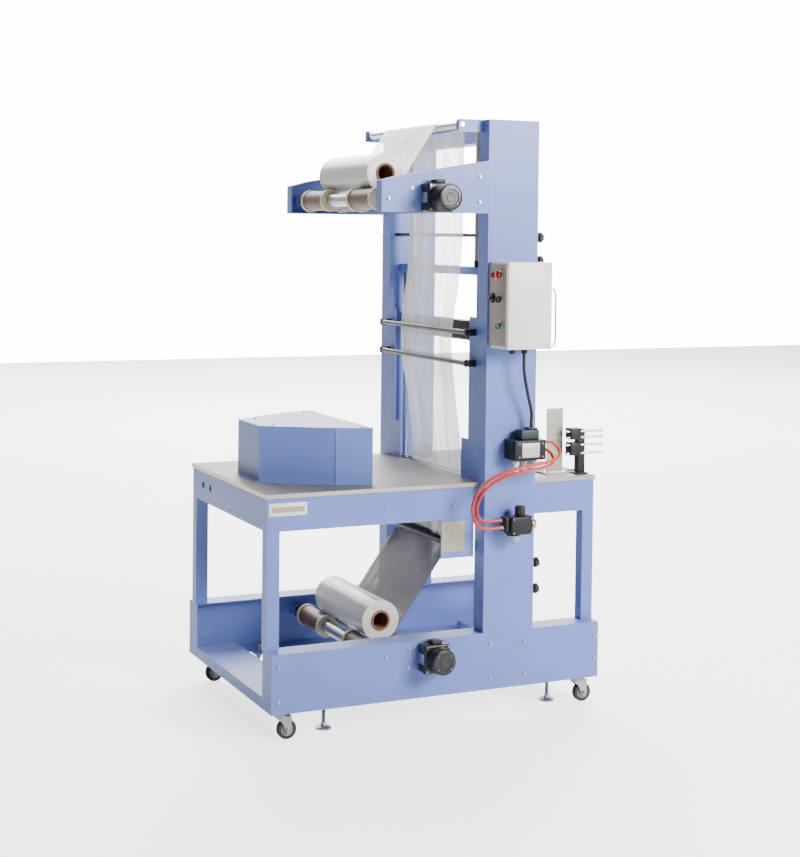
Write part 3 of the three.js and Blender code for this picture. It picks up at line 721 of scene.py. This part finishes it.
def add_motor(level):
    node = f"gear_motor_{level}"
    low, high = span(node)
    middle = centre(node)
    face = high.y
    length = (high.y - low.y) / MM
    gear_depth = 50
    piece = block(node + "_gearbox", (low.x, face - gear_depth * MM, low.z), high, MOTOR, 6, segments=4)
    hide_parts(node)
    ribs = [(0, gear_depth)]
    for k in range(9):
        deep = 52 + k * (length - 66) / 9
        ribs += [(41.8, deep), (41.8, deep + 2), (38.5, deep + 2.6), (38.5, deep + 4.2)]
    ribs += [(41, length - 13), (0, length - 13)]
    rear = Vector((middle.x, face, middle.z))
    lathe(node + "_case", ribs, rear, -Y, MOTOR, 64)
    cap = [(0, length - 1.5), (7, length - 1), (14, length - 1), (16, length - 2.5), (24, length - 2.5),
           (26, length - 0.6), (34, length - 0.6), (38, length - 2), (41.5, length - 7),
           (41.5, length - 12.6), (0, length - 12.6)]
    lathe(node + "_end_cap", cap, rear, -Y, MOTOR_CAP, 64)
    corners = [shift(rear, dx, -gear_depth, dz) for dx in (-37, 37) for dz in (-37, 37)]
    screws(node + "_corner_screws", corners, -Y)
    rim = [shift(rear, 29 * cos(a), 2.5 - length, 29 * sin(a)) for a in (0.8, 2.37, 3.94, 5.5)]
    screws(node + "_cap_screws", rim, -Y, 2)
    plate_low = Vector((low.x - 0.8 * MM, face - 42 * MM, middle.z - 16 * MM))
    block(node + "_blank_plate", plate_low, shift(plate_low, 0.9, 34, 32), ALUMINIUM, 0.3, segments=2)
    top = Vector((middle.x, face, high.z))
    block(node + "_terminal_box", shift(top, -17, -46, -0.2), shift(top, 17, -12, 12), PLASTIC, 2.5)


# ---- frame details

def add_painted_frame():
    for node in ("base_frame", "table_frame_infeed", "table_frame_outfeed", "column_front", "column_rear",
                 "cradle_arm_front", "cradle_arm_rear", "cradle_tie_bar", "top_crossbeam", "infeed_cover"):
        dress(node, BLUE)
    for side in SIDES:
        dress(f"guide_cover_{side}", BLUE, 0.8)
    for node in ("worktop_infeed", "worktop_outfeed"):
        dress(node, WORKTOP, 0.8)
    for node in ("lower_jaw", "outfeed_guide_plate"):
        dress(node, STEEL, 0.8)


def add_frame_bolts():
    arm = [(381, 1666), (460, 1700), (467, 1638), (700, 1660), (700, 1740)]
    base = [(390, 235), (467, 195), (470, 250), (1150, 160), (1150, 230), (30, 130), (30, 240), (760, 130),
            (885, 130), (760, 240), (885, 240)]
    for side, inward in INWARD.items():
        axis = -inward
        for group, places in (("arm", arm), ("base", base)):
            spots = [at(x, flip(side, -38), z) for x, z in places]
            bolts(f"{group}_bolts_{side}", spots, axis, 6)
        apron = [at(x, flip(side, 3), 690) for x in (400, 640, 1000)]
        screws(f"apron_screws_{side}", apron, axis, 3.5)
        hanger = [at(x, flip(side, 5), z) for x, z in ((622, 560), (622, 620), (672, 620))]
        bolts(f"hanger_bolts_{side}", hanger, axis, 4.5)
        near, far = sorted(flip(side, y) for y in (4.3, 4.9))
        block(f"hanger_cover_{side}", at(600, near, 540), at(683, far, 638), PANEL, 0.25, segments=1,
              slot="stainless")
    end_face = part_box("worktop_infeed")[0][0] + 4 * MM
    for i, y in enumerate((539, 612)):
        ring(f"end_grommet_{i}", [(7.6, -1), (7.6, 1.4), (10.5, 1.4), (11.5, 0.2), (11.5, 0.1), (7.9, -1)],
             Vector((end_face, y_at(y), 0.7)), -X, PLASTIC, 32)


def add_blank_nameplate():
    low = at(10, 1.6, 692)
    block("nameplate_blank", low, shift(low, 125, 1.1, 40), WHITE, segments=2)
    rivets("nameplate_rivets", [(0, 0), (2.2, 0), (2.0, 0.6), (1.2, 1.0), (0, 1.1)],
           [at(x, 1.6, z) for x in (15, 130) for z in (697, 727)], -Y, 20, ALUMINIUM)
    band = shift(low, 9, -0.12, 11)
    block("nameplate_band", band, shift(band, 107, 0.2, 17), PANEL, 0, segments=1)


def add_worktop_details():
    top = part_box("worktop_infeed")[1][2]
    rows = (40, 40), (560, 40), (700, 60), (950, 60), (1130, 40)
    places = [at(x, y, top / MM - 0.1) for x, inset in rows for y in (inset, DEPTH - inset)]
    rivets("worktop_screws", [(0, 0), (5.5, 0), (5.2, 0.5), (3.2, 0.6), (2.9, 0.2), (0, 0.2)], places, Z, 28)
    build = bmesh.new()
    for node, outer, inner_x in (("worktop_infeed", 0, 731), ("worktop_outfeed", 1, 887)):
        low, high = span(node)
        end = (low, high)[outer].x
        under = low.z + 0.5 * MM
        x0, x1 = sorted((end, x_at(inner_x)))
        for y in (low.y, high.y):
            add_block(build, (x0, y - 0.8 * MM, under), (x1, y + 0.8 * MM, top - 0.4 * MM), 0.3, 1)
        add_block(build, (end - 0.8 * MM, low.y, under), (end + 0.8 * MM, high.y, top - 0.4 * MM), 0.3, 1)
    finish_mesh("worktop_edge_strips", build, STEEL)
    low, high = span("infeed_cover")
    build = bmesh.new()
    corners = [at(x, y, 0) for x, y in ((388, 75), (278, 115), (67, 245), (67, 445), (278, 575), (388, 615))]
    for a, b in zip(corners, corners[1:] + corners[:1]):
        along = (b - a).normalized()
        outward = Vector((along.y, -along.x, 0))
        if outward.dot((a + b) / 2 - (low + high) / 2) < 0:
            outward = -outward
        foot = [a + outward * 0.2 * MM, b + outward * 0.2 * MM, b + outward * 9 * MM, a + outward * 9 * MM]
        add_prism(build, *([(p.x, p.y, top + rise * MM) for p in foot] for rise in (0.2, 2)))
    finish_mesh("infeed_cover_flange", build, BLUE)
    seam_x = corners[1].x
    for i, (y, out) in enumerate(((corners[1].y, -MM), (corners[4].y, MM))):
        low_y, high_y = sorted((y + out * 0.2, y + out * 1.2))
        block(f"infeed_cover_seam_{i}", (seam_x - 1.2 * MM, low_y, top + 3 * MM),
              (seam_x + 1.2 * MM, high_y, high.z - 2 * MM), BLUE_DARK, 0.4, segments=2)
    spots = [at(x, y, high.z / MM) for x, y in ((120, 260), (120, 430), (360, 100), (360, 590))]
    screws("infeed_cover_screws", spots, Z, 3.5)


def add_column_knobs():
    """Lobed hand screws on the outfeed face of the front column."""
    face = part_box("column_front")[1][0]
    stem = 18
    for i, z in enumerate((1550, 1474, 487, 401)):
        place = Vector((face, y_at(-8), z * MM))
        build = bmesh.new()
        add_lathe(build, [(0, 0), (9, 0), (9, 3), (5, 4), (5, stem), (0, stem)], place, X, 28)
        lobes = [(0, 17), (8, 17), (15, 18), (17, 22), (17, 30), (14, 34), (6, 36), (0, 36)]
        add_lathe(build, lobes, place, X, 36)
        for vert in build.verts:
            off = vert.co - place
            radial = Vector((0, off.y, off.z))
            if radial.length > 12 * MM and off.x > stem * MM:
                angle = atan2(radial.z, radial.y)
                vert.co -= radial * 0.10 * (1 + cos(6 * angle))
        finish_mesh(f"column_knob_{i}", build, PLASTIC)


# ---- jaw, crossbeam and cylinders

def add_jaw():
    low, high = span("upper_jaw")
    x0, x1 = low.x, high.x
    bottom = low.z + 6 * MM
    beam_top = bottom + 60 * MM
    piece = block("jaw_beam", (x0, y_at(92), bottom), (x1, y_at(DEPTH - 92), beam_top), BLACK, 2.5,
                  "upper_jaw")
    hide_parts("upper_jaw")
    for side in SIDES:
        shaft = at(SHAFT_X, flip(side, SHAFT_INSET), bottom / MM)
        rim = [(10.6, -4), (19.5, -4), (21, -2.5), (21, 62.5), (19.5, 64), (10.6, 64)]
        ring(f"jaw_linear_bearing_{side}", rim, shaft, Z, ZINC, body="upper_jaw", slot="chromed")
        low_y, high_y = sorted(y_at(flip(side, y)) for y in (SHAFT_INSET + 21.2, 92.2))
        block(f"jaw_carriage_{side}", (x0, low_y, bottom), (x1, high_y, beam_top), BLACK, body="upper_jaw",
              segments=2)
        rod_foot = at(SHAFT_X, flip(side, ROD_INSET), bottom / MM)
        reach = (high.z - bottom) / MM
        rod = [(0, 58), (6, 58), (6, reach - 1), (5, reach), (0, reach)]
        lathe(f"piston_rod_{side}", rod, rod_foot, Z, CHROME, 32, "upper_jaw")
        nut = [(0, 60), (10, 60), (10, 68), (9, 69), (0, 69)]
        lathe(f"piston_nut_{side}", nut, rod_foot, Z, ZINC, 6, "upper_jaw")
    block("jaw_heater_tape", (x0 + 10 * MM, y_at(110), low.z), (x1 - 10 * MM, y_at(616), bottom + 1 * MM),
          TAPE, 2, "upper_jaw", slot="black_alloy")
    for name, x, axis in (("infeed", x0, -X), ("outfeed", x1, X)):
        spots = [Vector((x, y_at(y), bottom + 30 * MM)) for y in range(130, 620, 78)]
        screws(f"jaw_screws_{name}", spots, axis, body="upper_jaw")
    strip_low, strip_high = span("lower_jaw")
    strip_low.z = strip_high.z
    block("lower_jaw_pad", shift(strip_low, 9.6, 0, -5), shift(strip_high, -9.6, 0, 0.2), CREAM, 0.8)


def add_crossbeam():
    low, high = span("jaw_crossbeam")
    thick = 26 * MM
    piece = block("jaw_crossbeam_beam", (*low.xy, high.z - thick), high, BLUE, 2)
    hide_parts("jaw_crossbeam")
    for side in SIDES:
        shaft = at(SHAFT_X, flip(side, SHAFT_INSET), low.z / MM)
        height = (high.z - low.z) / MM - 24
        lathe(f"guide_shaft_{side}", [(0, 0), (9, 0), (10, 1), (10, height), (0, height)], shaft, Z, CHROME,
              40)
        ring(f"guide_shaft_flange_{side}", [(10.2, 0), (22, 0), (22, 3.2), (21, 4), (10.2, 4)], shaft, Z,
             ZINC, 40)
        cylinder = f"cylinder_{side}"
        base, top = span(cylinder)
        axis = underside(cylinder)
        tall = (top.z - base.z) / MM
        body = [(7, 0), (15, 0), (16, 1), (16, 20), (15, 21), (14.2, 21), (14.2, tall - 21), (15, tall - 21),
                (16, tall - 20), (16, tall - 1), (15, tall), (0, tall), (0, tall - 6), (7, tall - 6)]
        bands = [1] * 5 + [0] + [1] * 8
        fine = ring(cylinder + "_fine", body, axis, Z, [STEEL, BLACK], bands=bands)
        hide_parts(cylinder)
        for name, h in (("low", 12), ("high", tall - 12)):
            port = shift(axis, 16, 0, h)
            elbow = [(0, -1), (5, -1), (5, 3), (6, 3), (6, 10), (4.4, 11), (0, 11)]
            lathe(f"{cylinder}_port_{name}", elbow, port, X, BRASS, 24)


# ---- controls

def add_control_box():
    low, high = span("control_box")
    high.x = x_at(BOX_END_X)
    face_x = x_at(741)
    floor_z = BOX_FLOOR * MM
    piece = block("control_box_shell", (face_x, low.y, floor_z), high, WHITE, 3.5, segments=4)
    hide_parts("control_box")
    door = (shift(Vector((face_x, low.y, floor_z)), 5, -0.3, 5),
            shift(Vector((high.x, low.y, high.z)), -5, 2, -5))
    block("control_box_door", *door, WHITE, 1.2)
    corners = [Vector((x, door[0].y, z)) for x in (door[0].x + 9 * MM, door[1].x - 9 * MM)
               for z in (door[0].z + 9 * MM, door[1].z - 9 * MM)]
    head = [(0, -0.2), (4, -0.2), (4, 0.5), (3.2, 0.9), (0, 0.9)]
    rivets("control_box_door_screws", head, corners, -Y, 24)
    panel = at(PANEL_X, -154, 1206), at(742, -42, 1463)
    block("control_panel", *panel, PANEL, 2)
    spots = [Vector((panel[0].x, y, z)) for y in (panel[0].y + 7 * MM, panel[1].y - 7 * MM)
             for z in (panel[0].z + 7 * MM, panel[1].z - 7 * MM)]
    screws("control_panel_screws", spots, -X, 2.6)
    gland = [(0, 17), (6, 17), (9, 15), (9, 9), (11.5, 9), (11.5, 3), (9.5, 3), (9.5, -1), (0, -1)]
    for name, x in (("cable_gland", 835), ("spare_gland", 790)):
        lathe(name, gland, at(x, -98, BOX_FLOOR), -Z, PLASTIC, 36)
    lathe("indicator_lamp", [(0, 10), (4, 9.4), (6.5, 7), (7, 3), (9, 3), (9.5, 0), (0, 0)],
          at(PANEL_X, -68, 1430), -X, RED, 32)


def add_buttons():
    cap = [(0, 10.4), (8.6, 10.6), (10.2, 11.5), (11, 10.8), (11, -1.5), (0, -1.5)]
    mushroom = [(0, 17), (6, 17), (13, 16), (16.2, 13.8), (16.2, 12.3), (11, 11.7), (11, -1.5), (0, -1.5)]
    turning = [(0, 6), (10, 6), (11, 5), (11, -1.5), (0, -1.5)]
    face = x_at(PANEL_X)
    for node, profile, material in (("button_red", mushroom, RED), ("button_black", cap, PLASTIC),
                                    ("button_green", cap, GREEN), ("selector", turning, PLASTIC)):
        place = Vector((face, *centre(node).yz))
        piece = lathe(node + "_fine", profile, place, -X, material, 40, node)
        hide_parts(node)
        ring(node + "_bezel", [(11.7, -0.5), (11.7, 3.8), (14.8, 3.8), (16, 2.4), (16, -0.5)], place, -X,
             ALUMINIUM if node != "selector" else BLACK, 40, slot="stainless")
    spot = Vector((face, *centre("selector").yz))
    block("selector_grip", shift(spot, -17, -7.5, -3), shift(spot, -5, 7.5, 3), PLASTIC, 1.6, "selector")
    block("selector_mark", shift(spot, -17.4, -7, -0.7), shift(spot, -16.8, -1, 0.7), WHITE, 0.2, "selector")
    hook = [(0.5, 1385), (24, 1385), (38, 1383), (45, 1374), (47, 1360), (47, 1290), (47, 1223), (45, 1209),
            (38, 1200), (24, 1198), (0.5, 1198)]
    tube("hook_rod_fine", [at(BOX_END_X + dx, -100, z) for dx, z in hook], 3, CHROME)


# ---- air unit

def push_fitting(name, place, axis, radius=7):
    profile = [(0, -2), (radius - 1, -2), (radius - 1, 0), (radius, 0), (radius, 6), (radius - 1, 7.5),
               (radius - 1.6, 7.5), (radius - 1.6, 10), (4.3, 10), (4.3, 5), (0, 5)]
    lathe(name, profile, place, axis, BRASS, 28)


def add_valve():
    piece = block("valve_body", at(800, -110, 839), at(914, AIR_PLATE_Y, 903), BLACK, 3)
    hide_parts("valve_block")
    build = bmesh.new()
    add_block(build, at(832, -94, 903), at(898, -51, 934), 3)
    add_block(build, at(862, -88, 934), at(896, -56, 940), 2)
    finish_mesh("valve_coil", build, TEAL)
    for i, x in enumerate((822, 852, 884)):
        spot = at(x, -76, 840)
        silencer = [(0, -1), (8, -1), (8, 5), (11, 6), (11, 14), (9.5, 15), (9.5, 36), (7.5, 40), (0, 40)]
        lathe(f"valve_silencer_{i}", silencer, spot, -Z, WHITE if i == 0 else ALUMINIUM, 28, slot="stainless")
    for i, x in enumerate((815, 900)):
        screws(f"valve_screws_{i}", [at(x, -110, z) for z in (850, 892)], -Y, 3.4)
    block("valve_front_plate", at(826, -111, 848), at(890, -109.8, 894), ALUMINIUM, 0.4)
    push_fitting("valve_port_outer", at(912, -88, 893), X)
    push_fitting("valve_port_inner", at(912, -66, 866), X)


def add_regulator():
    build = bmesh.new()
    add_block(build, at(790, -112, 602), at(868, -58, 660), 5, 4)
    add_block(build, at(775, -101, 612), at(791, -64, 658), 3)
    piece = finish_mesh("regulator_body", build, BLACK)
    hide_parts("air_regulator")
    block("regulator_bracket", at(800, -60, 640), at(850, AIR_PLATE_Y, 655), ZINC, 1)
    bowl_top = at(812, -85, 604)
    bowl = [(0, 33), (6, 33), (6, 29), (14, 28), (18.5, 24), (19.5, 18), (19.5, 0), (0, 0)]
    lathe("filter_bowl", bowl, bowl_top, -Z, BOWL)
    guard = [(20, -1), (21.5, -1), (21.5, 6), (20, 6)]
    ring("filter_bowl_collar", guard, bowl_top, -Z, BLACK)
    lathe("filter_drain", [(0, 32), (3.4, 32), (3.4, 24), (0, 24)], bowl_top, -Z, BRASS, 24)
    gauge = at(867, -85, 630)
    case = [(0, 0), (6, 0), (6, 7), (16, 8), (16, 20), (15, 21.6), (13.8, 21.6), (13.8, 18.5), (0, 18.5)]
    lathe("gauge_case", case, gauge, X, ZINC, slot="chromed")
    lathe("gauge_dial", [(0, 18.5), (13.7, 18.5), (13.7, 19), (0, 19)], gauge, X, DIAL)
    block("gauge_needle", shift(gauge, 19.1, -0.5, -2), shift(gauge, 19.7, 0.5, 10), RED, 0.2)
    build = bmesh.new()
    mark = Vector((0.2, 0.4, 0.4)) * MM
    for k in range(11):
        angle = radians(-30 + k * 24)
        tick = shift(gauge, 19.1, 11.4 * cos(angle), 11.4 * sin(angle))
        add_block(build, tick - mark, tick + mark, 0)
    finish_mesh("gauge_ticks", build, PLASTIC)
    push_fitting("regulator_port_outer", at(776, -84, 625), -X)
    push_fitting("regulator_port_inner", at(776, -76, 646), -X)
    screws("regulator_screws", [at(x, -112, z) for x in (797, 861) for z in (609, 653)], -Y, 3)
    base = underside("regulator_knob")
    build = bmesh.new()
    profile = [(0, 0), (15, 0), (16.8, 1.5), (16.8, 5), (15.2, 6), (16.8, 7), (16.8, 24), (14.5, 30),
               (13, 31), (0, 31)]
    add_lathe(build, profile, base, Z, 72)
    for vert in build.verts:
        off = vert.co - base
        if 6.5 * MM < off.z < 25 * MM:
            ridge = 0.5 * (1 + cos(18 * atan2(off.y, off.x)))
            vert.co.x -= off.x * 0.07 * ridge
            vert.co.y -= off.y * 0.07 * ridge
    piece = finish_mesh("regulator_knob_fine", build, PLASTIC, "regulator_knob", smooth=25)
    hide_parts("regulator_knob")


# ---- outfeed guides

def add_outfeed():
    foot_z = underside("outfeed_guide_stand").z / MM
    piece = block("guide_post", at(1127, 40, foot_z), at(1154, 66, 910), BLACK, 2)
    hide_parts("outfeed_guide_stand")
    for i, (z0, z1) in enumerate(((825, 868), (878, 916))):
        block(f"guide_clamp_{i}", at(1088, 22, z0), at(1128, 60, z1), BLACK, 3)
        lever = at(1108, 60, (z0 + z1) / 2)
        lathe(f"guide_clamp_lever_{i}", [(0, -1), (6, -1), (6, 6), (10, 7), (11, 12), (9, 18), (0, 19)],
              lever, Y, PLASTIC, 32)
    for i, z in enumerate((832, 860, 885, 905)):
        rod = [(0, 0), (3.4, 0), (4, 0.6), (4, 142.4), (3.4, 143), (0, 143)]
        lathe(f"guide_rod_{i}", rod, at(1072, 30, z), X, CHROME, 28)
    spots = [at(x, y, 766.3) for x in (1025, 1100) for y in (66, 100)]
    bolts("guide_plate_bolts", spots, Z, 4)
    block("guide_post_foot", at(1118, 33, 760.2), at(1163, 73, 765.2), BLACK, 1)
    block("outfeed_strip", at(960, 112, 760.2), at(1168, 132, 764), TAPE, 1)


# ---- casters and feet

def add_caster(end, side):
    name = f"{end}_{side}"
    fork, wheel = f"caster_fork_{name}", f"caster_wheel_{name}"
    hub = centre(wheel)
    low, high = span(fork)
    pivot = Vector((low.x + 20 * MM, (low.y + high.y) / 2, high.z))
    head = [(0, 0), (19, 0), (20, -1), (20, -8), (17, -10), (17, -12), (20.5, -14), (20.5, -20), (16, -23.5),
            (0, -23.5)]
    piece = lathe(f"{fork}_race", head, pivot, Z, ZINC, 48, fork)
    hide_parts(fork)
    build = bmesh.new()
    bridge = Vector((*pivot.xy, 70 * MM))
    add_block(build, shift(bridge, -14, -15, 0), shift(bridge, 34, 15, 6), 2.5)
    for sign in (-1, 1):
        rim = [(-13, 74), (33, 74), (34.5, 60), (32.5, 30)]
        rim += [(22 + 10.5 * cos(a), 31 - 10.5 * sin(a)) for a in (0.3, 0.9, 1.57, 2.24, 2.84)]
        rim += [(10.5, 36), (2, 56), (-12, 66)]
        add_prism(build, *([(pivot.x + x * MM, pivot.y + y * MM, z * MM) for x, z in rim]
                           for y in sorted((sign * 12.2, sign * 15))))
    finish_mesh(f"{fork}_cheeks", build, ZINC, fork)
    nut = [(0, 0), (7, 0), (7, 4), (6, 5), (3.4, 5), (3.4, 7), (0, 7)]
    for end, axis in (("near", -Y), ("far", Y)):
        lathe(f"{fork}_axle_nut_{end}", nut, hub + axis * 15 * MM, axis, ZINC, 6, fork)
    tyre = [(20, -10.5), (27.5, -11), (30, -9.5), (31, -6), (31, 6), (30, 9.5), (27.5, 11), (20, 10.5)]
    piece = ring(f"{wheel}_tyre", tyre, hub, Y, RUBBER, 64, wheel)
    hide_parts(wheel)
    core = [(0, -11.6), (7, -11.6), (8, -10), (9, -7.5), (18, -7.5), (20.2, -10), (20.2, 10), (18, 7.5),
            (9, 7.5), (8, 10), (7, 11.6), (0, 11.6)]
    lathe(f"{wheel}_hub", core, hub, Y, NYLON, 48, wheel)
    plate = Vector((*pivot.xy, span("base_frame")[0].z))
    corners = [shift(plate, dx, dy, -0.3) for dx in (-25, 25) for dy in (-17, 17)]
    build = bmesh.new()
    for spot in corners:
        add_bolt(build, spot, -Z, 3.6)
    finish_mesh(f"caster_plate_bolts_{name}", build, ZINC)


def add_foot(end, side):
    node = f"levelling_foot_{end}_{side}"
    base = underside(node)
    pad = [(0, 0), (24.5, 0), (25, 1), (25, 4.5), (23, 6.5), (12, 9), (9, 12), (8, 15), (0, 15)]
    piece = lathe(node + "_pad", pad, base, Z, ZINC, 48, node)
    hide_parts(node)
    turns = [(radius, 14 + 1.5 * k + rise) for k in range(73) for radius, rise in ((5.3, 0), (5.95, 0.75))]
    thread = [(0, 14), *turns, (5, 124.5), (0, 124.5)]
    lathe(node + "_stud", thread, base, Z, ZINC, 28, node)
    nut = [(0, 82), (9.2, 82), (10, 83), (10, 91), (9.2, 92), (0, 92)]
    lathe(node + "_nut", nut, base, Z, ZINC, 6, node)
    lathe(node + "_hex", [(0, 15), (8.5, 15), (8.5, 22), (0, 22)], base, Z, ZINC, 6, node)


add_camera()
add_cords()
add_studio()
add_painted_frame()
add_frame_bolts()
add_blank_nameplate()
add_worktop_details()
add_column_knobs()
for level in LEVELS:
    add_roll(level)
    add_motor(level)
add_film()
add_rollers()
add_jaw()
add_crossbeam()
add_control_box()
add_buttons()
add_valve()
add_regulator()
add_outfeed()
for end in ENDS:
    for side in SIDES:
        add_caster(end, side)
        add_foot(end, side)
